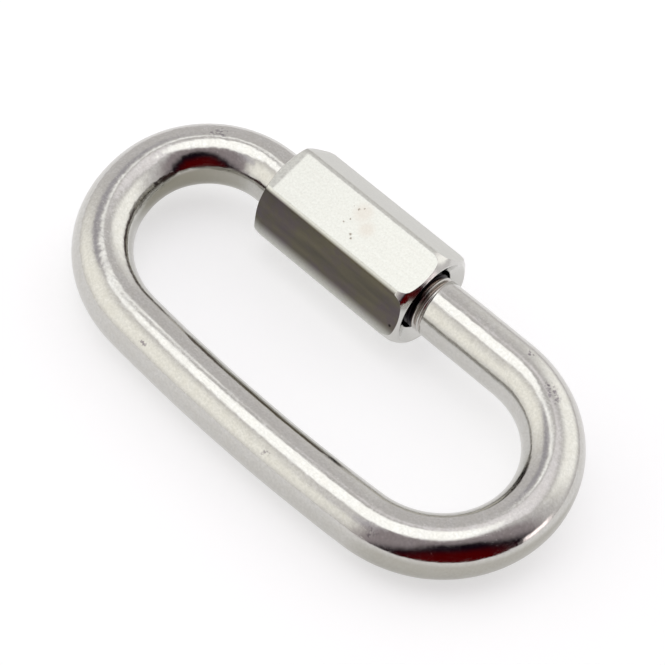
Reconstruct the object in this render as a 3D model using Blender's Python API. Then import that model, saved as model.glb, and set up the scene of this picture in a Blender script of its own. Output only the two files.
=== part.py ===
"""Screw-lock chain quick link in 8 mm stainless steel bar, lying as it comes to rest.

The bar is bent in one plane into an open oval. Its two ends face each other on the thread axis,
and a long hexagon nut bridges the gap between them. Turned back along the long thread, the nut
opens the mouth of the link.

The link is drawn in its own plane, with the thread axis on X. The plane then leans on the ground:
the nut is thicker than the bar, so the side with the nut lies a few degrees higher.
"""

import math

import bmesh
import bpy

MM = 0.001

# Bar and bends. A bow is two arcs, and its lean is how far the arc beside the thread axis is
# wider than half of AXIS_TO_BACK: the left bow is bent tighter on that side than on the other.
BAR_DIAMETER = 8.0 * MM
AXIS_TO_BACK = 29.2 * MM
RIGHT_BOW_LEAN = 0.6 * MM
LEFT_BOW_LEAN = -2.6 * MM
BACK_TURN = math.radians(8.4)

# Threads, drawn at their mean diameter.
THREAD_PITCH = 0.75 * MM
THREAD_RUNOUT = 0.4 * MM
THREAD_TIP_CHAMFER = 0.8 * MM
SHORT_THREAD_IN_NUT = 3.5 * MM
LONG_THREAD_IN_NUT = 2.4 * MM
THREAD_CLEARANCE = 0.22 * MM

# Nut.
NUT_LENGTH = 25.5 * MM
NUT_THREAD_LENGTH = 14.4 * MM
NUT_WALL = 2.05 * MM
NUT_EDGE_RADIUS = 0.8 * MM
NUT_ROLL = math.radians(14.5)
BAR_CLEARANCE = 0.45 * MM
MOUTH_FLARE_WIDTH = 1.6 * MM
MOUTH_FLARE_DEPTH = 1.0 * MM
END_CHAMFER_IN_FLATS = 0.35 * MM
LEFT_CHAMFER_ANGLE = math.radians(27.0)
RIGHT_CHAMFER_ANGLE = math.radians(57.0)

# Where the nut sits on the straight leg.
SEAT_TO_LEFT_BOW = 2.6 * MM
NUT_TO_RIGHT_BOW = 1.8 * MM

# Facets.
BAR_SIDES = 28
BORE_SIDES = 48
NUT_EDGE_SEGMENTS = 3
BEND_STEP = math.radians(5.0)

BAR_RADIUS = BAR_DIAMETER / 2
THREAD_V_HEIGHT = THREAD_PITCH * math.cos(math.pi / 6)
THREAD_DEPTH = 17 / 24 * THREAD_V_HEIGHT
THREAD_RADIUS = BAR_RADIUS - THREAD_DEPTH / 2
NUT_THREAD_RADIUS = THREAD_RADIUS + THREAD_CLEARANCE
CLEAR_BORE_RADIUS = BAR_RADIUS + BAR_CLEARANCE
FLAT_RADIUS = CLEAR_BORE_RADIUS + NUT_WALL
NUT_TRAVEL = NUT_THREAD_LENGTH - LONG_THREAD_IN_NUT
LEG_LENGTH = SEAT_TO_LEFT_BOW + NUT_LENGTH + NUT_TRAVEL + NUT_TO_RIGHT_BOW

# How far the nut's blank and its bore's cutter run past its ends.
OVERRUN = NUT_EDGE_RADIUS

# Along the thread axis, from the start of the left bow at x = 0.
NUT_START = SEAT_TO_LEFT_BOW
SHORT_TIP = NUT_START + SHORT_THREAD_IN_NUT
LONG_TIP = NUT_START + NUT_TRAVEL
LONG_THREAD_END = NUT_START + NUT_THREAD_LENGTH + NUT_TRAVEL + THREAD_RUNOUT


def bow_arcs(lean):
    """The two arcs of a bow, the one beside the thread axis first, as (radius, turn)."""
    whole = math.pi - BACK_TURN / 2
    turn = whole / 2
    first = AXIS_TO_BACK / 2 + lean
    drop = AXIS_TO_BACK - first * (1 - math.cos(turn))
    second = drop / (math.cos(turn) - math.cos(whole))
    return [(first, turn), (second, turn)]


def bow_reach(lean):
    """How far along X a bow carries the bar from the leg to the back."""
    (first, turn), (second, _) = bow_arcs(lean)
    return first * math.sin(turn) + second * (math.sin(2 * turn) - math.sin(turn))


def bend(path, radius, turn, step=BEND_STEP):
    """Carries the path on, as an arc to the right. A path holds (x, y, heading) in the plane."""
    x, y, heading = path[-1]
    count = max(2, math.ceil(turn / step))
    for n in range(1, count + 1):
        h = heading - turn * n / count
        path.append((
            x + radius * (math.sin(heading) - math.sin(h)),
            y + radius * (math.cos(h) - math.cos(heading)),
            h,
        ))


def leg_stations(places):
    """Stations of (x, y, heading, radius) straight along the thread axis."""
    return [(x, 0.0, 0.0, radius) for x, radius in places]


def bar_stations():
    """The whole bar, from the tip of the long thread round to the tip of the short one."""
    tip_radius = THREAD_RADIUS - THREAD_TIP_CHAMFER
    long_leg = leg_stations([
        (LONG_TIP, tip_radius),
        (LONG_TIP + THREAD_TIP_CHAMFER, THREAD_RADIUS),
        (LONG_THREAD_END - THREAD_RUNOUT, THREAD_RADIUS),
        (LONG_THREAD_END, BAR_RADIUS),
    ])
    short_leg = leg_stations([
        (NUT_START - THREAD_RUNOUT, BAR_RADIUS),
        (NUT_START, THREAD_RADIUS),
        (SHORT_TIP - THREAD_TIP_CHAMFER, THREAD_RADIUS),
        (SHORT_TIP, tip_radius),
    ])
    back_chord = LEG_LENGTH + bow_reach(RIGHT_BOW_LEAN) + bow_reach(LEFT_BOW_LEAN)
    back_radius = back_chord / 2 / math.sin(BACK_TURN / 2)
    path = [(LEG_LENGTH, 0.0, 0.0)]
    for radius, turn in bow_arcs(RIGHT_BOW_LEAN):
        bend(path, radius, turn)
    bend(path, back_radius, BACK_TURN, BACK_TURN / 10)
    for radius, turn in reversed(bow_arcs(LEFT_BOW_LEAN)):
        bend(path, radius, turn)
    return long_leg + [place + (BAR_RADIUS,) for place in path] + short_leg


def loft(stations, sides):
    """A closed solid of round rings, one at each station, square to its heading."""
    bm = bmesh.new()
    rings = []
    for x, y, heading, radius in stations:
        across = (-math.sin(heading), math.cos(heading))
        ring = []
        for n in range(sides):
            a = 2 * math.pi * n / sides
            out = radius * math.cos(a)
            ring.append(bm.verts.new((x + out * across[0], y + out * across[1], radius * math.sin(a))))
        rings.append(ring)
    for low, high in zip(rings, rings[1:]):
        for n in range(sides):
            m = (n + 1) % sides
            bm.faces.new((low[n], low[m], high[m], high[n]))
    bm.faces.new(rings[0])
    bm.faces.new(rings[-1])
    bmesh.ops.recalc_face_normals(bm, faces=bm.faces)
    return bm


def add_object(name, bm, parent, material=None):
    mesh = bpy.data.meshes.new(name)
    bm.to_mesh(mesh)
    bm.free()
    mesh.shade_smooth()
    mesh.set_sharp_from_angle(angle=math.radians(25))
    obj = bpy.data.objects.new(name, mesh)
    bpy.context.collection.objects.link(obj)
    obj.parent = parent
    if material:
        mesh.materials.append(material)
    return obj


def add_empty(name, location, parent=None):
    empty = bpy.data.objects.new(name, None)
    empty.empty_display_size = BAR_DIAMETER
    empty.location = location
    empty.parent = parent
    bpy.context.collection.objects.link(empty)
    return empty


def steel(name, colour, roughness):
    material = bpy.data.materials.new(name)
    material.use_nodes = True
    shader = material.node_tree.nodes["Principled BSDF"]
    shader.inputs["Base Color"].default_value = (*colour, 1.0)
    shader.inputs["Metallic"].default_value = 1.0
    shader.inputs["Roughness"].default_value = roughness
    return material


def nut_reach(direction):
    """How far the rounded hexagon reaches from its axis, in a direction measured from +Y to +Z."""
    off_edge = (direction - NUT_ROLL + math.pi / 6) % (math.pi / 3) - math.pi / 6
    edge_centre = (FLAT_RADIUS - NUT_EDGE_RADIUS) / math.cos(math.pi / 6)
    return edge_centre * math.cos(off_edge) + NUT_EDGE_RADIUS


def rest_tilt(axis_to_back_middle):
    """The lean of the link's plane with the nut and the middle of the back on the ground."""
    tilt = 0.0
    for _ in range(20):
        rise = nut_reach(-math.pi / 2 - tilt) - BAR_RADIUS
        tilt = math.asin(rise / axis_to_back_middle)
    return tilt


def add_cut(target, cutter, operation):
    """Cuts a solid with another, which stays as a wire shape that isn't rendered."""
    cutter.hide_render = True
    cutter.display_type = "WIRE"
    cut = target.modifiers.new(cutter.name, "BOOLEAN")
    cut.operation = operation
    cut.object = cutter


def build_bar(parent, stations):
    finish = steel("polished_stainless_bar", (0.60, 0.59, 0.56), 0.16)
    return add_object("link_bar", loft(stations, BAR_SIDES), parent, finish)


def nut_blank():
    """A length of hexagon bar with rounded edges, longer than the nut at both ends."""
    corner = FLAT_RADIUS / math.cos(math.pi / 6)
    bm = loft([(-OVERRUN, 0.0, 0.0, corner), (NUT_LENGTH + OVERRUN, 0.0, 0.0, corner)], 6)
    long_edges = [e for e in bm.edges if abs(e.verts[0].co.x - e.verts[1].co.x) > NUT_LENGTH]
    back_off = NUT_EDGE_RADIUS * math.tan(math.pi / 6)
    bmesh.ops.bevel(
        bm, geom=long_edges, offset=back_off, segments=NUT_EDGE_SEGMENTS, profile=0.5, affect="EDGES"
    )
    return bm


def nut_ends():
    """What the lathe leaves of the blank: both ends faced off and coned down, the right one more."""
    face_radius = FLAT_RADIUS - END_CHAMFER_IN_FLATS
    widest = FLAT_RADIUS / math.cos(math.pi / 6) + OVERRUN
    left_cone = (widest - face_radius) * math.tan(LEFT_CHAMFER_ANGLE)
    right_cone = (widest - face_radius) * math.tan(RIGHT_CHAMFER_ANGLE)
    return loft([
        (0.0, 0.0, 0.0, face_radius),
        (left_cone, 0.0, 0.0, widest),
        (NUT_LENGTH - right_cone, 0.0, 0.0, widest),
        (NUT_LENGTH, 0.0, 0.0, face_radius),
    ], BORE_SIDES)


def nut_bore():
    """The hole: a countersunk thread from the left, then a flared clearance bore."""
    left_mouth = CLEAR_BORE_RADIUS
    right_mouth = CLEAR_BORE_RADIUS + MOUTH_FLARE_WIDTH
    return loft([
        (-OVERRUN, 0.0, 0.0, left_mouth),
        (0.0, 0.0, 0.0, left_mouth),
        (left_mouth - NUT_THREAD_RADIUS, 0.0, 0.0, NUT_THREAD_RADIUS),
        (NUT_THREAD_LENGTH, 0.0, 0.0, NUT_THREAD_RADIUS),
        (NUT_THREAD_LENGTH + CLEAR_BORE_RADIUS - NUT_THREAD_RADIUS, 0.0, 0.0, CLEAR_BORE_RADIUS),
        (NUT_LENGTH - MOUTH_FLARE_DEPTH, 0.0, 0.0, CLEAR_BORE_RADIUS),
        (NUT_LENGTH, 0.0, 0.0, right_mouth),
        (NUT_LENGTH + OVERRUN, 0.0, 0.0, right_mouth),
    ], BORE_SIDES)


def build_nut(parent):
    finish = steel("satin_stainless_nut", (0.66, 0.65, 0.62), 0.32)
    nut = add_object("sleeve_nut", nut_blank(), parent, finish)
    nut.rotation_euler.x = NUT_ROLL
    add_cut(nut, add_object("nut_end_turning", nut_ends(), parent), "INTERSECT")
    add_cut(nut, add_object("nut_bore_cutter", nut_bore(), parent), "DIFFERENCE")
    return nut


def main():
    for old in list(bpy.data.objects):
        bpy.data.objects.remove(old, do_unlink=True)

    stations = bar_stations()
    back_middle = min(y for x, y, heading, radius in stations)
    left = min(x for x, y, heading, radius in stations) - BAR_RADIUS
    right = max(x for x, y, heading, radius in stations) + BAR_RADIUS

    # The origin is on the ground, below the middle of the whole outline.
    tilt = rest_tilt(-back_middle)
    front = back_middle * math.cos(tilt) - BAR_RADIUS
    rear = nut_reach(-tilt)
    height = nut_reach(-math.pi / 2 - tilt)
    plane = add_empty("link_plane", (-(left + right) / 2, -(front + rear) / 2, height))
    plane.rotation_euler.x = tilt
    nut_axis = add_empty("nut_axis", (NUT_START, 0.0, 0.0), plane)

    build_bar(plane, stations)
    build_nut(nut_axis)


main()
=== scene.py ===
"""The looks of a screw-lock chain quick link in stainless steel, lying in a white light tent.

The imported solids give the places. The bar and the nut are made again here as fine meshes, with
their real screw threads, and stand for the plain solids.
"""

import math

import bmesh
import bpy
from mathutils import Matrix, Vector, noise


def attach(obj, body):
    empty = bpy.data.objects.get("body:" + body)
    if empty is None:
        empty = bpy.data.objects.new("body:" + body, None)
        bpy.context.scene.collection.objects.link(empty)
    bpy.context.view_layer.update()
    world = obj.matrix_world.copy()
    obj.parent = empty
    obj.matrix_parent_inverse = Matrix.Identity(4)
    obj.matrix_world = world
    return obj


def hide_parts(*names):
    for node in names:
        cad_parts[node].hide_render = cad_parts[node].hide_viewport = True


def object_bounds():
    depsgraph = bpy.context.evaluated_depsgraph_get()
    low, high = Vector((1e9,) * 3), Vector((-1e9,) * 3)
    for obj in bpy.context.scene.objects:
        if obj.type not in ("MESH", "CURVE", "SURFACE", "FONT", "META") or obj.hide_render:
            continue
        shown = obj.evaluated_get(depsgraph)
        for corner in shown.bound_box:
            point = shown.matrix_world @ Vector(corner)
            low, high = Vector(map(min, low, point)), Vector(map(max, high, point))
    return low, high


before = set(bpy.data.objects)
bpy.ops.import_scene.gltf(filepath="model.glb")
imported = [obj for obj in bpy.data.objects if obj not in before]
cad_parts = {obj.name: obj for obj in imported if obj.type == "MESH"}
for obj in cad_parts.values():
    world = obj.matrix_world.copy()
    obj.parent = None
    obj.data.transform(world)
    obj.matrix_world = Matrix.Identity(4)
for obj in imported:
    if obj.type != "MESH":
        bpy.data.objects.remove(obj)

CAD_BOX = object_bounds()
MM = 0.001

# Bar and bends, as in the part's source.
BAR_RADIUS = 4.0 * MM
AXIS_TO_BACK = 29.2 * MM
RIGHT_BOW_LEAN = 0.6 * MM
LEFT_BOW_LEAN = -2.6 * MM
BACK_TURN = math.radians(8.4)

# Nut and where it sits, as in the part's source.
NUT_START = 2.6 * MM
NUT_LENGTH = 25.5 * MM
NUT_THREAD_LENGTH = 14.4 * MM
NUT_TRAVEL = 12.0 * MM
NUT_TO_RIGHT_BOW = 1.8 * MM
FLAT_RADIUS = 6.5 * MM
CORNER_RADIUS = 7.32 * MM
NUT_ROLL = math.radians(14.5)
CLEAR_BORE_RADIUS = 4.45 * MM
LEG_LENGTH = NUT_START + NUT_LENGTH + NUT_TRAVEL + NUT_TO_RIGHT_BOW

# The nut's ends. The left one tapers a little on each flat, and the right one is turned round to a
# rim and dished, so that each flat ends there in a D.
LEFT_RIM = 6.15 * MM
LEFT_CHAMFER = math.radians(27.0)
LEFT_TAPER = math.radians(10.0)
LEFT_TAPER_LENGTH = 1.4 * MM
RIGHT_RIM = 6.1 * MM
RIGHT_END_SLOPE = 0.75
RIGHT_END_ON_CORNERS = 2.05 * MM
MOUTH_DEPTH = 1.0 * MM
TURNED_CORNER = 0.15 * MM
LONG_CORNER = 0.22 * MM

# Screw threads: a right-hand fine thread on 8 mm bar.
PITCH = 0.75 * MM
THREAD_ORIGIN = NUT_START - 0.22 * MM
THREAD_DEPTH = 0.44 * MM
THREAD_FIT = 0.10 * MM
THREAD_RUNOUT = 0.4 * MM
THREAD_CREST = BAR_RADIUS - 0.03 * MM
TIP_RADIUS = BAR_RADIUS - THREAD_DEPTH - 0.25 * MM
TIP_SLOPE = 1.1
NUT_THREAD_RELIEF = 1.2 * MM
SHORT_TIP = NUT_START + 3.5 * MM
SHORT_THREAD_END = NUT_START - 0.4 * MM
LONG_TIP = NUT_START + NUT_TRAVEL
LONG_THREAD_END = NUT_START + NUT_THREAD_LENGTH + NUT_TRAVEL + 0.55 * MM
# Where the painted shade on the thread under the nut stops, near the nut's right face.
PAINTED_SHADE_EDGE = NUT_START + NUT_LENGTH - 0.5 * MM
TURN_STEPS = (0.0, 0.055, 0.085, 0.13, 0.25, 0.37, 0.42, 0.46, 0.54, 0.58, 0.63, 0.75, 0.87, 0.915, 0.945)

# How much sooner the long thread stops, for each degree round from where it stops last.
DIE_SKEW = 0.0077 * MM
THREAD_STOPS_LAST = 155

# The drawn bar is this thick, so that the crests of its waves stay inside the solid bar.
SKIN_RADIUS = BAR_RADIUS - 0.022 * MM
BAR_SIDES = 96
RING_STEP = 0.45 * MM

# Rings of the nut's outside, counted from the left bore: the flats lie between the first two, and
# the bore beyond the right mouth starts at the third.
FLATS_FROM = 11
FLATS_TO = 25
BORE_FROM = 43


def srgb(code):
    """A hex colour as it is seen, turned to linear light."""
    parts = [int(code[n:n + 2], 16) / 255 for n in (1, 3, 5)]
    return [c / 12.92 if c <= 0.04045 else ((c + 0.055) / 1.055) ** 2.4 for c in parts]


def smooth(value, low, high):
    """A soft step: 0 up to low, and 1 from high on."""
    t = min(1.0, max(0.0, (value - low) / (high - low)))
    return t * t * (3 - 2 * t)


def between(value, low, high, soft):
    """1 from low to high and 0 outside, with soft ends."""
    half = soft / 2
    return smooth(value, low - half, low + half) * (1 - smooth(value, high - half, high + half))


def across(azimuth, west, east, soft):
    """1 inside a range of azimuths in degrees, which may reach past 180, and 0 outside it."""
    off = abs((azimuth - (west + east) / 2 + 180) % 360 - 180)
    return 1 - smooth(off, (east - west - soft) / 2, (east - west + soft) / 2)


# The path of the bar.

def bow_arcs(lean):
    whole = math.pi - BACK_TURN / 2
    turn = whole / 2
    first = AXIS_TO_BACK / 2 + lean
    drop = AXIS_TO_BACK - first * (1 - math.cos(turn))
    return [(first, turn), (drop / (math.cos(turn) - math.cos(whole)), turn)]


def bow_reach(lean):
    (first, turn), (second, _) = bow_arcs(lean)
    return first * math.sin(turn) + second * (math.sin(2 * turn) - math.sin(turn))


def bend(path, radius, turn):
    x, y, heading = path[-1]
    count = math.ceil(radius * turn / RING_STEP)
    for n in range(1, count + 1):
        h = heading - turn * n / count
        path.append((
            x + radius * (math.sin(heading) - math.sin(h)),
            y + radius * (math.cos(h) - math.cos(heading)),
            h,
        ))


def straight(path, length):
    x, y, heading = path[-1]
    count = math.ceil(length / RING_STEP)
    way = math.cos(heading)
    for n in range(1, count + 1):
        path.append((x + way * length * n / count, y, heading))


def bar_path():
    """The plain bar, from the end of the long thread round to the end of the short one."""
    back_chord = LEG_LENGTH + bow_reach(RIGHT_BOW_LEAN) + bow_reach(LEFT_BOW_LEAN)
    path = [(LONG_THREAD_END, 0.0, 0.0)]
    straight(path, LEG_LENGTH - LONG_THREAD_END)
    for radius, turn in bow_arcs(RIGHT_BOW_LEAN):
        bend(path, radius, turn)
    bend(path, back_chord / 2 / math.sin(BACK_TURN / 2), BACK_TURN)
    for radius, turn in reversed(bow_arcs(LEFT_BOW_LEAN)):
        bend(path, radius, turn)
    straight(path, SHORT_THREAD_END)
    return path


def nut_reach(direction):
    """How far the solid nut reaches from its axis, as in the part's source."""
    off_edge = (direction - NUT_ROLL + math.pi / 6) % (math.pi / 3) - math.pi / 6
    edge = 0.8 * MM
    return (FLAT_RADIUS - edge) / math.cos(math.pi / 6) * math.cos(off_edge) + edge


def link_plane():
    """Where the link's own plane lies: leaning by a few degrees, with the nut side up."""
    path = bar_path()
    back = min(y for x, y, h in path)
    tilt = 0.0
    for _ in range(20):
        tilt = math.asin((nut_reach(-math.pi / 2 - tilt) - BAR_RADIUS) / -back)
    left = min(x for x, y, h in path) - BAR_RADIUS
    right = max(x for x, y, h in path) + BAR_RADIUS
    front = back * math.cos(tilt) - BAR_RADIUS
    place = (-(left + right) / 2, -(front + nut_reach(-tilt)) / 2, nut_reach(-math.pi / 2 - tilt))
    return Matrix.Translation(place) @ Matrix.Rotation(tilt, 4, "X")


PLANE = link_plane()
AXIS_Y = PLANE.translation.y / MM
AXIS_Z = PLANE.translation.z / MM


# The fine meshes.

def thread_dip(x, angle):
    """How deep the groove is there: 0 on the crest, 1 at the root."""
    turn = ((x - THREAD_ORIGIN) / PITCH - angle / (2 * math.pi)) % 1.0
    t = min(1.0, max(0.0, (min(turn, 1 - turn) - 0.07) / 0.37))
    return t + 0.6 * (smooth(t, 0, 1) - t)


def thread_places(low, high, angle):
    """The x places of one column's points: they follow the thread and stop square at both ends."""
    first = THREAD_ORIGIN + (math.floor((low - THREAD_ORIGIN) / PITCH) - 1 + angle / (2 * math.pi)) * PITCH
    turns = math.ceil((high - low) / PITCH) + 4
    return [
        min(high, max(low, first + (turn + step) * PITCH))
        for turn in range(turns) for step in TURN_STEPS
    ]


class Shell:
    """A mesh in the making, built from rings of points about the bar or the nut."""

    def __init__(self):
        self.bm = bmesh.new()
        # Per point: thin oil in the thread grooves, and painted shade on the bar's low sides, on one flat
        # of the nut and inside the nut.
        self.oil_and_painted_shade = self.bm.verts.layers.float.new("oil_and_painted_shade")

    def ring(self, points):
        return [self.bm.verts.new(p) for p in points]

    def face(self, verts, slot):
        verts = [v for n, v in enumerate(verts) if v is not verts[n - 1]]
        if len(verts) >= 3:
            face = self.bm.faces.new(verts)
            face.material_index = slot
            face.smooth = True

    def join(self, low, high, slot=0):
        for n in range(len(low)):
            self.face((low[n - 1], low[n], high[n], high[n - 1]), slot)

    def thread(self, low, high, angles, radius, oil, slot):
        """A threaded stretch: radius(x, angle) is its surface and oil(x, angle) the oil and painted shade
        on it.
        Gives back its end rings."""
        grid = []
        for angle in angles:
            made = {}
            column = []
            for x in thread_places(low, high, angle):
                if x not in made:
                    r = radius(x, angle)
                    made[x] = self.bm.verts.new((x, r * math.cos(angle), r * math.sin(angle)))
                    made[x][self.oil_and_painted_shade] = oil(x, angle)
                column.append(made[x])
            grid.append(column)
        a_turn = len(TURN_STEPS)
        closing = grid[0][a_turn:] + grid[0][-1:] * a_turn
        for column, after in zip(grid, grid[1:] + [closing]):
            for n in range(len(column) - 1):
                self.face((column[n], column[n + 1], after[n + 1], after[n]), slot)
        return [c[0] for c in grid], [c[-1] for c in grid]

    def make(self, name, materials):
        bmesh.ops.recalc_face_normals(self.bm, faces=self.bm.faces)
        mesh = bpy.data.meshes.new(name)
        self.bm.to_mesh(mesh)
        self.bm.free()
        for material in materials:
            mesh.materials.append(material)
        mesh.transform(PLANE)
        obj = bpy.data.objects.new(name, mesh)
        bpy.context.scene.collection.objects.link(obj)
        return obj


def bar_point(place, angle, radius):
    x, y, heading = place
    out = radius * math.cos(angle)
    return (x - out * math.sin(heading), y + out * math.cos(heading), radius * math.sin(angle))


def bar_wave(point, rough):
    """The long soft waves that bending and tumbling leave in the bar."""
    at = Vector(point)
    wave = noise.noise(at / (6.0 * MM)) * 0.026 + noise.noise(at / (2.2 * MM)) * 0.007 * (1 + rough)
    return wave * MM


def cut_thread_radius(x, angle, end, tip):
    """A cut thread that fades out towards the plain bar and is chamfered at its tip."""
    cut = smooth((x - end) * math.copysign(1, tip - end), 0.0, THREAD_RUNOUT)
    r = SKIN_RADIUS - (BAR_RADIUS - THREAD_CREST + THREAD_DEPTH * thread_dip(x, angle)) * cut
    cone = TIP_RADIUS + abs(x - tip) * TIP_SLOPE
    return min(r, cone)


def long_thread_fades(angle):
    """The die was set askew, so the long thread stops sooner on the outer side of the link."""
    sooner = THREAD_STOPS_LAST - min(THREAD_STOPS_LAST, max(0, math.degrees(angle)))
    return LONG_THREAD_END - DIE_SKEW * sooner


def oil_in_grooves(x, angle):
    return 0.3 * thread_dip(x, angle)


def painted_shade_under_nut_and_oil(x, angle):
    """Dark on the thread that the nut covers, a painted shade for the gap inside the nut, and thin oil in
    the grooves beside it.
    """
    edge = PAINTED_SHADE_EDGE + 0.65 * MM * smooth(math.degrees(angle), 105, 155)
    covered = 1 - smooth(x, edge - 0.08 * MM, edge + 0.08 * MM)
    beyond = smooth(long_thread_fades(angle) - x, 0.0, THREAD_RUNOUT)
    return max(covered, oil_in_grooves(x, angle) * beyond)


def painted_shade_on_bar(place, angle):
    """Painted shade: the low sides of the bar that face +X and -Y are darkened brown, most on the left bow.
    It stands for a dim reflection of the floor in the link's shadow."""
    x, y, heading = place
    out = PLANE.to_3x3() @ (Vector(bar_point(place, angle, 1.0)) - Vector((x, y, 0.0)))
    low = 1 - smooth(out.z, 0.26, 0.46)
    towards = across(math.degrees(math.atan2(out.x, out.y)), 66, 172, 26)
    return low * towards * (1 - 0.45 * smooth(x, -14 * MM, 0.0))


def build_bar(materials):
    angles = [2 * math.pi * n / BAR_SIDES - math.pi / 2 for n in range(BAR_SIDES)]
    shell = Shell()
    long_tip, long_end = shell.thread(
        LONG_TIP, LONG_THREAD_END, angles,
        lambda x, a: cut_thread_radius(x, a, long_thread_fades(a), LONG_TIP), painted_shade_under_nut_and_oil, 1,
    )
    short_end, short_tip = shell.thread(
        SHORT_THREAD_END, SHORT_TIP, angles,
        lambda x, a: cut_thread_radius(x, a, SHORT_THREAD_END, SHORT_TIP), oil_in_grooves, 1,
    )
    path = bar_path()
    rings = [long_end]
    for n, place in enumerate(path[1:-1], 1):
        calm = smooth(min(n, len(path) - 1 - n), 0, 8)
        rough = smooth(n / len(path), 0.62, 0.8)
        points = []
        for angle in angles:
            wave = bar_wave(bar_point(place, angle, BAR_RADIUS), rough) * calm
            points.append(bar_point(place, angle, SKIN_RADIUS + wave))
        rings.append(shell.ring(points))
        for vert, angle in zip(rings[-1], angles):
            vert[shell.oil_and_painted_shade] = painted_shade_on_bar(place, angle)
    rings.append(short_end)
    for low, high in zip(rings, rings[1:]):
        shell.join(low, high)
    for ring, x in ((long_tip, LONG_TIP), (short_tip, SHORT_TIP)):
        for share in (0.97, 0.6, 0.2):
            r = TIP_RADIUS * share
            inner = shell.ring([(x, r * math.cos(a), r * math.sin(a)) for a in angles])
            shell.join(ring, inner, 1)
            ring = inner
        shell.face(ring, 1)
    return shell.make("quick_link_bar", materials)


def rounded(corners, radius):
    """A line of points with each inner corner worn round. A point beside each keeps the straights
    straight."""
    made = [Vector(corners[0])]
    for before, corner, after in zip(corners, corners[1:], corners[2:]):
        c = Vector(corner)
        u, v = Vector(before) - c, Vector(after) - c
        back = min(radius, 0.4 * u.length, 0.4 * v.length)
        beside_u = min(0.25 * back, 0.08 * u.length)
        beside_v = min(0.25 * back, 0.08 * v.length)
        u.normalize()
        v.normalize()
        made.append(c + u * (back + beside_u))
        for t in (0.0, 0.25, 0.5, 0.75, 1.0):
            made.append(c + u * back * (1 - t) ** 2 + v * back * t ** 2)
        made.append(c + v * (back + beside_v))
    made.append(Vector(corners[-1]))
    return made


def hexagon_columns():
    """Points round the nut's section: the angle and the radius of each."""
    half = (CORNER_RADIUS - FLAT_RADIUS * math.cos(math.pi / 6)) / math.sin(math.pi / 6)
    corner_side = Vector((FLAT_RADIUS, half))
    turn = Matrix.Rotation(math.pi / 3, 2)
    next_side = turn @ Vector((FLAT_RADIUS, -half))
    steps = [half * k / 8 for k in range(-7, 8)]
    points = [Vector((FLAT_RADIUS, u)) for u in steps]
    next_flat = turn @ Vector((FLAT_RADIUS, -half * 0.9))
    edge = rounded([(FLAT_RADIUS, half * 0.9), corner_side, next_side, next_flat], LONG_CORNER)
    points += edge[1:-1]
    columns = []
    for side in range(6):
        middle = NUT_ROLL + math.pi / 6 + side * math.pi / 3
        for p in points:
            off = math.atan2(p.y, p.x)
            columns.append(((middle + off + math.pi / 2) % (2 * math.pi) - math.pi / 2, p.length))
    return sorted(columns)


def turned_end(radius):
    """A point of the turned right end: steep at the rim, and nearly along the nut at the corners."""
    rise = radius - RIGHT_RIM
    whole = CORNER_RADIUS - RIGHT_RIM
    back = RIGHT_END_SLOPE * rise + (RIGHT_END_ON_CORNERS - RIGHT_END_SLOPE * whole) * (rise / whole) ** 10
    return (NUT_LENGTH - back, radius)


def nut_profile(radius):
    """One column of the nut's outside, from the left bore over both ends into the right bore."""
    slope = math.tan(LEFT_CHAMFER)
    taper = math.tan(LEFT_TAPER)
    low = radius - LEFT_TAPER_LENGTH * taper
    chamfer = (low - LEFT_RIM) * slope / (1 - taper * slope)
    curve = [turned_end(radius + (RIGHT_RIM - radius) * share) for share in (0.0, 0.06, 0.15, 0.35, 0.65)]
    outside = rounded([
        (0.0, CLEAR_BORE_RADIUS),
        (0.0, LEFT_RIM),
        (chamfer, low + chamfer * taper),
        (LEFT_TAPER_LENGTH, radius),
        curve[0],
        curve[1],
    ], TURNED_CORNER)
    mouth = rounded([
        curve[4],
        (NUT_LENGTH, RIGHT_RIM),
        (NUT_LENGTH - MOUTH_DEPTH, CLEAR_BORE_RADIUS),
        (NUT_THREAD_LENGTH + 0.3 * MM, CLEAR_BORE_RADIUS),
    ], TURNED_CORNER)
    return outside + [Vector(p) for p in curve[2:4]] + mouth


def build_nut(materials):
    columns = hexagon_columns()
    angles = [a for a, r in columns]
    profiles = [nut_profile(r) for a, r in columns]
    shell = Shell()
    rings = []
    for k in range(len(profiles[0])):
        rings.append(shell.ring([
            (NUT_START + p[k].x, p[k].y * math.cos(a), p[k].y * math.sin(a))
            for a, p in zip(angles, profiles)
        ]))
    for k, (low, high) in enumerate(zip(rings, rings[1:])):
        shell.join(low, high, 2 if k >= BORE_FROM else 0 if FLATS_FROM <= k < FLATS_TO else 1)
    for k, ring in enumerate(rings):
        for vert, (angle, r) in zip(ring, columns):
            # The bore beyond the right mouth is painted nearly black: painted shade.
            vert[shell.oil_and_painted_shade] = 1.0 if k >= BORE_FROM else painted_reflection_on_flats(angle)

    crest = THREAD_CREST + THREAD_FIT - THREAD_DEPTH

    def bore(x, angle):
        groove = crest + THREAD_DEPTH * (1 - thread_dip(x, angle))
        inwards = x - NUT_START
        sink = CLEAR_BORE_RADIUS - 0.1 * MM - inwards
        relief = crest + (inwards - NUT_THREAD_LENGTH + NUT_THREAD_RELIEF)
        return max(groove, sink, min(relief, CLEAR_BORE_RADIUS - 0.05 * MM))

    # Painted shade: the nut's inner thread is painted darker from 0.5 mm in from its left end, and nearly
    # black from 2.5 mm in.
    thread_start, thread_end = shell.thread(
        NUT_START + 0.1 * MM, NUT_START + NUT_THREAD_LENGTH, angles, bore,
        lambda x, a: smooth(x - NUT_START, 0.5 * MM, 2.5 * MM), 2,
    )
    shell.join(rings[0], thread_start, 1)
    shell.join(rings[-1], thread_end, 1)
    return shell.make("sleeve_nut_fine", materials)


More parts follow.
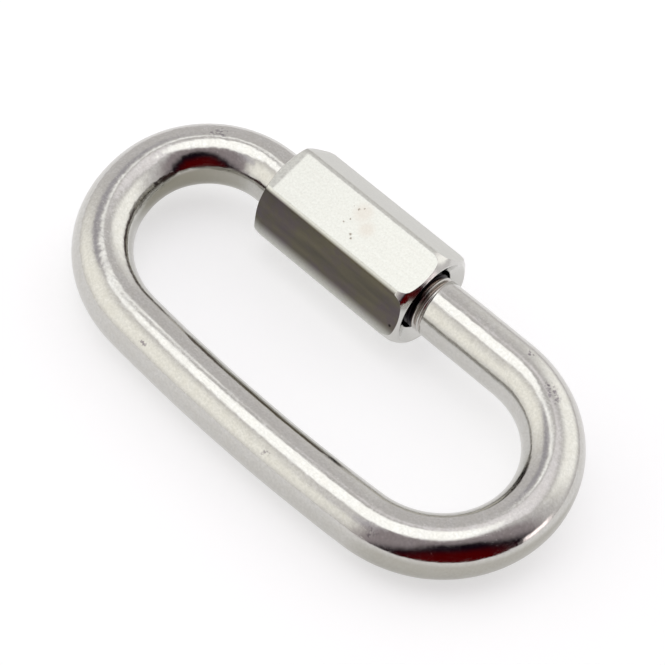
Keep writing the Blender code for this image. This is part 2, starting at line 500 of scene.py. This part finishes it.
def painted_reflection_on_flats(angle):
    """Painted reflection: the flat that faces the back leg is painted dark brown, standing for the shaded
    floor inside the link that it reflects, and is lighter at its lower edge. The flat on the other side of
    the top one is greyed a little."""
    lean = math.degrees(angle) % 360
    if 14 < lean < 75:
        return 0.14
    thinner = 1 - 0.8 * smooth(lean, 178.0, 194.0)
    return smooth(lean, 134.0, 136.5) * thinner * (1 - smooth(lean, 196.0, 215.0))


# The finishes.

def add(tree, kind, inputs=None, **settings):
    """Adds a node with its settings. An input is a value, or another node's output that it is linked to."""
    made = tree.nodes.new("ShaderNode" + kind)
    for name, value in settings.items():
        setattr(made, name, value)
    for name, value in (inputs or {}).items():
        if isinstance(value, bpy.types.NodeSocket):
            tree.links.new(value, made.inputs[name])
        else:
            made.inputs[name].default_value = value
    return made


def metal(name, colour, roughness):
    """A bare metal to start from, and its surface's place in millimetres."""
    material = bpy.data.materials.new(name)
    material.use_nodes = True
    tree = material.node_tree
    shader = tree.nodes["Principled BSDF"]
    shader.inputs["Base Color"].default_value = (*srgb(colour), 1)
    shader.inputs["Metallic"].default_value = 1.0
    shader.inputs["Roughness"].default_value = roughness
    place = add(tree, "TexCoord")
    at = add(tree, "VectorMath", {0: place.outputs["Object"], "Scale": 1000.0}, operation="SCALE")
    return material, tree, shader, at.outputs[0]


def marks(tree, at, places):
    """1 in each of the places given, a middle and a radius in millimetres, and 0 outside them."""
    found = 0.0
    for middle, radius in places:
        away = add(tree, "VectorMath", {0: at, 1: middle}, operation="DISTANCE")
        rim = {"Value": away.outputs["Value"], "From Min": radius, "From Max": radius * 0.4}
        here = add(tree, "MapRange", rim)
        found = add(tree, "Math", {0: found, 1: here.outputs[0]}, operation="MAXIMUM").outputs[0]
    return found


def frayed(tree, at, scale, reach):
    """The same places, shifted a little here and there, so that a mark's rim is ragged."""
    shift = add(tree, "TexNoise", {"Vector": at, "Scale": scale, "Detail": 1.0})
    about = add(tree, "VectorMath", {0: shift.outputs["Color"], 1: (0.5, 0.5, 0.5)}, operation="SUBTRACT")
    moved = add(tree, "VectorMath", {0: about.outputs[0], 1: (reach,) * 3, 2: at}, operation="MULTIPLY_ADD")
    return moved.outputs[0]


def noise_of(tree, at, scale, detail, low, high, to=(0.0, 1.0)):
    """Noise with this many grains to the millimetre, its middle range stretched."""
    made = add(tree, "TexNoise", {"Vector": at, "Scale": scale, "Detail": detail, "Roughness": 0.6})
    span = {"Value": made.outputs[0], "From Min": low, "From Max": high, "To Min": to[0], "To Max": to[1]}
    return add(tree, "MapRange", span).outputs[0]


def combine(tree, operation, *values):
    return add(tree, "Math", dict(enumerate(values)), operation=operation).outputs[0]


def blend(tree, share, low, high):
    """Two colours, or outputs, mixed by a share."""
    sides = {6: low, 7: high}
    sides = {k: (*srgb(c), 1) if isinstance(c, str) else c for k, c in sides.items()}
    return add(tree, "Mix", {0: share, **sides}, data_type="RGBA").outputs[2]


# Places in millimetres on the resting link, each with its radius.
SCUFFS = [
    ((-30.6, 10.7, 11.0), 0.9), ((-31.0, 9.7, 10.9), 0.6),
    ((25.6, 12.2, 11.2), 0.8), ((26.6, 11.8, 11.1), 1.0), ((27.5, 11.3, 11.0), 0.8),
    ((20.8, 14.3, 11.2), 0.5), ((-13.7, -18.8, 6.9), 0.6), ((7.9, -19.1, 6.8), 0.6),
    ((24.6, -18.0, 7.0), 0.7),
]
PITS = [((-17.2, -14.8, 9.6), 0.16), ((14.2, -15.3, 9.3), 0.15)]


def polished_bar():
    """Stainless steel bar, bent, then tumbled and polished. It is bright but finely grained all
    over, so reflections keep their place and fray at their edges. A few scuffs, two pits and
    hairlines laid two ways are left from use."""
    material, tree, shader, at = metal("stainless_bar_tumbled_polished", "#C8C7C3", 0.14)

    # Haze in patches of about 3 mm, and a grain of 0.3 mm.
    hazy = noise_of(tree, at, 0.33, 2.0, 0.42, 0.66)
    grain = noise_of(tree, at, 3.0, 3.0, 0.34, 0.66)
    mottle = noise_of(tree, at, 0.9, 3.0, 0.35, 0.65)

    # Hairlines 0.1 mm wide and about 4 mm long, laid two ways.
    lines = []
    for turn in ((0.3, 0.2, 0.9), (1.1, -0.4, -0.5)):
        laid = add(tree, "Mapping", {"Vector": at, "Rotation": turn, "Scale": (0.25, 7.0, 7.0)})
        lines.append(noise_of(tree, laid.outputs[0], 1.0, 1.0, 0.64, 0.74))
    hairs = combine(tree, "MAXIMUM", *lines)

    ragged = frayed(tree, at, 1.6, 1.2)
    chips = noise_of(tree, at, 2.4, 2.0, 0.46, 0.56)
    scuffs = combine(tree, "MULTIPLY", marks(tree, ragged, SCUFFS), chips)
    pits = marks(tree, frayed(tree, at, 5.0, 0.15), PITS)

    shade = blend(tree, grain, "#C1C0BC", "#CDCCC8")
    shade = blend(tree, combine(tree, "MULTIPLY", mottle, 0.3), shade, "#BDBAB1")
    shade = blend(tree, combine(tree, "MULTIPLY", scuffs, 0.75), shade, "#6F6670")
    shade = blend(tree, pits, shade, "#7A706A")
    # Painted shade: the low sides that face +X and -Y are browned and darkened, for a dim reflection of the
    # shaded floor.
    oil_and_painted_shade = add(tree, "Attribute", attribute_name="oil_and_painted_shade").outputs["Fac"]
    shade = blend(tree, oil_and_painted_shade, shade, "#8F8C7F")
    tree.links.new(shade, shader.inputs["Base Color"])

    rough = combine(tree, "MULTIPLY_ADD", combine(tree, "MULTIPLY", hazy, grain), 0.12, 0.07)
    rough = combine(tree, "MULTIPLY_ADD", hairs, 0.12, rough)

    # The skin is pebbled by a few micrometres, more on the tight left bow.
    along = add(tree, "SeparateXYZ", {0: at})
    tight = {"Value": along.outputs[0], "From Min": -16.0, "From Max": -26.0, "To Min": 0.55, "To Max": 1.0}
    strength = add(tree, "MapRange", tight).outputs[0]
    tree.links.new(combine(tree, "MULTIPLY_ADD", strength, 0.03, rough), shader.inputs["Roughness"])
    pebbles = combine(tree, "MULTIPLY_ADD", grain, 0.035, noise_of(tree, at, 0.8, 1.0, 0.0, 1.0))
    skin = add(tree, "Bump", {"Strength": strength, "Distance": 0.00003, "Height": pebbles})
    scratched = combine(tree, "MULTIPLY_ADD", hairs, 0.06, pits)
    sunk = combine(tree, "ADD", scratched, combine(tree, "MULTIPLY", scuffs, 0.5))
    dents = {"Strength": 0.6, "Distance": 0.00003, "Height": sunk, "Normal": skin.outputs[0]}
    tree.links.new(add(tree, "Bump", dents, invert=True).outputs[0], shader.inputs["Normal"])
    return material


SPECKS = [
    ((-6.4, 9.7, 12.8), 0.22), ((-6.0, 9.3, 12.7), 0.2), ((-8.3, 10.4, 13.1), 0.18),
    ((-7.9, 11.1, 13.4), 0.14),
    ((-8.8, 12.7, 14.0), 0.13), ((-8.0, 12.7, 14.0), 0.2), ((-7.5, 13.2, 14.2), 0.16),
]
# A painted shade for a small dent low on the flat that faces the back leg. The dent itself is not sunk.
PAINTED_DENT_SHADE = [((4.35, 6.8, 7.0), 0.28)]
STAINS = [((-7.2, 12.7, 14.0), 1.7), ((-5.3, 11.4, 13.5), 1.4)]


def satin_flats():
    """Stainless hexagon bar, drawn and then blasted: a frosted satin with a fine grain and faint draw lines
    along it. The top flat has a few dark specks and a faint brown stain. The flat that faces the back leg
    is painted dark in brown and violet streaks, a painted reflection of the shaded floor inside the link,
    and has one dark dot, a painted shade for a small dent that is not sunk."""
    material, tree, shader, at = metal("stainless_hexagon_satin", "#CACBC5", 0.34)

    grain = noise_of(tree, at, 3.2, 3.0, 0.32, 0.68)
    drawn = add(tree, "Mapping", {"Vector": at, "Scale": (0.08, 2.5, 2.5)})
    lines = noise_of(tree, drawn.outputs[0], 1.0, 3.0, 0.3, 0.7)
    rough = combine(tree, "MULTIPLY_ADD", grain, 0.1, 0.29)
    tree.links.new(rough, shader.inputs["Roughness"])

    # Painted reflection: brown and violet streaks on the flat that faces the back leg, standing for the
    # shaded floor inside the link.
    oil_and_painted_shade = add(tree, "Attribute", attribute_name="oil_and_painted_shade").outputs["Fac"]
    streaks = add(tree, "Mapping", {"Vector": at, "Scale": (0.07, 0.5, 0.5)})
    tint = blend(tree, noise_of(tree, streaks.outputs[0], 1.0, 2.0, 0.3, 0.7), "#545048", "#686353")
    clouds = combine(tree, "MULTIPLY", noise_of(tree, at, 0.35, 3.0, 0.45, 0.65), 0.6)
    tint = blend(tree, clouds, tint, "#5C525A")

    shade = blend(tree, grain, "#C8C9C3", "#DCDDD7")
    shade = blend(tree, combine(tree, "MULTIPLY", lines, 0.2), shade, "#C6C2BA")
    shade = blend(tree, combine(tree, "MULTIPLY", marks(tree, at, STAINS), 0.35), shade, "#C6BAAE")
    shade = blend(tree, oil_and_painted_shade, shade, tint)
    shade = blend(tree, marks(tree, frayed(tree, at, 4.5, 0.3), SPECKS), shade, "#857B6F")
    # A dark dot of painted shade where a small dent would show dark.
    shade = blend(tree, marks(tree, at, PAINTED_DENT_SHADE), shade, "#1E1A18")
    tree.links.new(shade, shader.inputs["Base Color"])

    height = combine(tree, "ADD", grain, lines)
    frost = add(tree, "Bump", {"Strength": 0.6, "Distance": 0.000008, "Height": height})
    tree.links.new(frost.outputs[0], shader.inputs["Normal"])
    return material


def turned_ends():
    """Stainless steel cut on the lathe and tumbled: brighter than the flats, with faint rings of
    the tool, drawn 0.3 mm apart because the real ones are too fine to show."""
    material, tree, shader, at = metal("stainless_turned_bright", "#CBCAC6", 0.15)
    from_axis = add(tree, "VectorMath", {0: at, 1: (0.0, AXIS_Y, AXIS_Z)}, operation="SUBTRACT")
    flat = add(tree, "VectorMath", {0: from_axis.outputs[0], 1: (0.0, 1.0, 1.0)}, operation="MULTIPLY")
    radius = add(tree, "VectorMath", {0: flat.outputs[0]}, operation="LENGTH")
    drawn = {"W": radius.outputs["Value"], "Scale": 3.3, "Detail": 2.0}
    rings = add(tree, "TexNoise", drawn, noise_dimensions="1D")
    blotches = noise_of(tree, at, 1.2, 3.0, 0.3, 0.7)
    tree.links.new(combine(tree, "MULTIPLY_ADD", blotches, 0.12, 0.1), shader.inputs["Roughness"])
    height = combine(tree, "ADD", rings.outputs[0], blotches)
    ridges = {"Strength": 0.4, "Distance": 0.00001, "Height": height}
    tree.links.new(add(tree, "Bump", ridges).outputs[0], shader.inputs["Normal"])
    return material


def cut_thread():
    """Thread cut in stainless steel: bright on the crests, bronze with thin oil in the grooves, and painted
    nearly black, a painted shade, inside the nut's bore and on the thread that the nut covers."""
    material, tree, shader, at = metal("stainless_cut_thread", "#C8C7C3", 0.16)
    oil_and_painted_shade = add(tree, "Attribute", attribute_name="oil_and_painted_shade").outputs["Fac"]
    thin = add(tree, "MapRange", {"Value": oil_and_painted_shade, "From Min": 0.0, "From Max": 0.5}).outputs[0]
    thick = add(tree, "MapRange", {"Value": oil_and_painted_shade, "From Min": 0.5, "From Max": 1.0}).outputs[0]
    # The thick share is painted shade: nearly black inside the nut's bore and on the thread it covers.
    shade = blend(tree, thick, blend(tree, thin, "#C8C7C3", "#97857A"), "#1B1418")
    tree.links.new(shade, shader.inputs["Base Color"])
    tree.links.new(combine(tree, "MULTIPLY_ADD", thick, 0.2, 0.16), shader.inputs["Roughness"])
    return material


# The light tent, the floor and the camera.

TENT_RADIUS = 1.2
FLOOR_RADIUS = 0.17
FLOOR_LIFT = 0.54
WALL = ("#ECE9EA", 0.92)
ROOF = ("#FFFFFF", 1.75)

# How low the bright roof comes, round the tent: azimuth from +Y towards +X, then elevation.
ROOF_EDGE = [
    (-180, 68), (-165, 64), (-150, 59), (-120, 58), (-90, 62), (-70, 67), (-60, 72), (-40, 74),
    (30, 76), (65, 76), (130, 74), (160, 72), (180, 68),
]

# The cloths of the tent, and a dark card with a maroon middle. For each: azimuth and elevation,
# from and to, the softness of its sides and of its top and foot, all in degrees, how much its
# sides lean in, then its colour and brightness.
CLOTHS = [
    ("west side", -178, -92, 2, 50, 44, 30, 0.0, "#FFFDF7", 1.36),
    ("dim corner of the west side", -194, -160, 36, 60, 20, 18, 0.0, "#ECE8F0", 0.80),
    ("dim strip", -98, -56, 40, 53, 14, 9, 0.0, "#E4E0E8", 0.68),
    ("north-west strip", -108, -48, 55.5, 61, 12, 4, 0.0, "#FFFFFF", 1.6),
    ("north shoulder", -42, 48, 60.5, 90, 12, 8, 0.0, "#F6F2F6", 1.30),
    ("north side", -14, 44, 9, 52, 28, 18, 0.0, "#FFFEFB", 1.46),
    ("camera side", 66, 186, -30, 90, 20, 14, 0.0, "#E8DAE0", 0.47),
    ("dark card", 66, 174, -20, 60, 20, 16, 0.6, "#140814", 1.0),
    ("maroon middle", 88, 156, -20, 35, 26, 24, 0.5, "#560204", 1.0),
    ("narrow slit", 60, 78, -2, 10, 6, 6, 0.0, "#FFF3F5", 2.2),
]


def lamp(colour, strength):
    return Vector(srgb(colour)) * strength


def aimed(azimuth, elevation):
    a, e = math.radians(azimuth), math.radians(elevation)
    return Vector((math.sin(a) * math.cos(e), math.cos(a) * math.cos(e), math.sin(e)))


def roof_edge(azimuth):
    for (west, low), (east, high) in zip(ROOF_EDGE, ROOF_EDGE[1:]):
        if azimuth <= east:
            return low + (high - low) * (azimuth - west) / (east - west)


def tent_light(direction):
    azimuth = math.degrees(math.atan2(direction.x, direction.y))
    elevation = math.degrees(math.asin(max(-1.0, min(1.0, direction.z))))
    light = lamp(*WALL)
    for name, west, east, low, high, side_soft, end_soft, lean, colour, strength in CLOTHS:
        inwards = lean * max(0.0, elevation)
        sides = across(azimuth, west + inwards, east - inwards, side_soft)
        light = light.lerp(lamp(colour, strength), sides * between(elevation, low, high, end_soft))
    soft = 2.5 + 2.5 * across(azimuth, 40, 175, 40)
    edge = roof_edge(azimuth)
    return light.lerp(lamp(*ROOF), smooth(elevation, edge - soft, edge + soft))


def build_tent():
    shell = bmesh.new()
    bmesh.ops.create_uvsphere(shell, u_segments=240, v_segments=120, radius=TENT_RADIUS)
    mesh = bpy.data.meshes.new("light_tent")
    shell.to_mesh(mesh)
    shell.free()
    paint = mesh.color_attributes.new("tent_light", "FLOAT_COLOR", "POINT")
    for n, vertex in enumerate(mesh.vertices):
        paint.data[n].color = (*tent_light(vertex.co.normalized()), 1)
    tent = bpy.data.objects.new("light_tent", mesh)
    bpy.context.scene.collection.objects.link(tent)
    material = bpy.data.materials.new("white_cloth_lit_from_outside")
    material.use_nodes = True
    tree = material.node_tree
    tree.nodes.clear()
    colour = add(tree, "VertexColor", layer_name="tent_light")
    glow = add(tree, "Emission", {"Color": colour.outputs["Color"]})
    add(tree, "OutputMaterial", {"Surface": glow.outputs["Emission"]})
    mesh.materials.append(material)
    tent.visible_camera = False
    return tent


def build_floor():
    """A matt white board. It is lifted to plain white where it is seen, straight or in the metal,
    and keeps the link's shadow."""
    bm = bmesh.new()
    bmesh.ops.create_circle(bm, cap_ends=True, segments=96, radius=FLOOR_RADIUS)
    mesh = bpy.data.meshes.new("white_floor")
    bm.to_mesh(mesh)
    bm.free()
    floor = bpy.data.objects.new("white_floor", mesh)
    bpy.context.scene.collection.objects.link(floor)
    floor.location.z = CAD_BOX[0].z
    material = bpy.data.materials.new("matt_white_board")
    material.use_nodes = True
    tree = material.node_tree
    board = tree.nodes["Principled BSDF"]
    board.inputs["Base Color"].default_value = (*srgb("#C6C6C8"), 1)
    board.inputs["Roughness"].default_value = 1.0
    board.inputs["Specular IOR Level"].default_value = 0.0
    path = add(tree, "LightPath")
    seen = combine(tree, "MAXIMUM", path.outputs["Is Camera Ray"], path.outputs["Is Glossy Ray"])
    seen = combine(tree, "MAXIMUM", seen, path.outputs["Is Transmission Ray"])
    lift = combine(tree, "MULTIPLY", seen, FLOOR_LIFT)
    white = add(tree, "Emission", {"Color": (1, 1, 1, 1), "Strength": lift})
    both = add(tree, "AddShader", {0: board.outputs[0], 1: white.outputs[0]})
    tree.links.new(both.outputs[0], tree.nodes["Material Output"].inputs["Surface"])
    mesh.materials.append(material)
    return floor


# The photograph's viewing angle: the camera's place about the aim, in degrees and millimetres.
CAMERA_AZIMUTH = 34.492
CAMERA_ELEVATION = 50.255
CAMERA_ROLL = -12.066
CAMERA_AIM = (-0.499, 1.763, 5.0)
CAMERA_AWAY = 319.638
CAMERA_LENS = 137.198


def build_camera():
    azimuth, elevation = math.radians(CAMERA_AZIMUTH), math.radians(CAMERA_ELEVATION)
    roll = math.radians(CAMERA_ROLL)
    aim = Vector(CAMERA_AIM) * MM
    back = Vector((
        math.sin(azimuth) * math.cos(elevation),
        -math.cos(azimuth) * math.cos(elevation),
        math.sin(elevation),
    ))
    data = bpy.data.cameras.new("camera")
    data.lens = CAMERA_LENS
    data.sensor_width = 36.0
    data.clip_start = 0.01
    camera = bpy.data.objects.new("camera", data)
    bpy.context.scene.collection.objects.link(camera)
    turn = (-back).to_track_quat("-Z", "Y").to_matrix().to_4x4() @ Matrix.Rotation(-roll, 4, "Z")
    camera.matrix_world = Matrix.Translation(aim + back * CAMERA_AWAY * MM) @ turn
    bpy.context.scene.camera = camera


def build_world():
    world = bpy.data.worlds.new("white_surroundings")
    bpy.context.scene.world = world
    world.use_nodes = True
    background = world.node_tree.nodes["Background"]
    background.inputs["Color"].default_value = (1, 1, 1, 1)
    background.inputs["Strength"].default_value = 1.0


build_world()
build_tent()
build_floor()
build_camera()

bar = build_bar([polished_bar(), cut_thread()])
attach(bar, "link")
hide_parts("link_bar")

nut = build_nut([satin_flats(), turned_ends(), cut_thread()])
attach(nut, "nut")
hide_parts("sleeve_nut")

bpy.context.scene.view_settings.view_transform = "Standard"
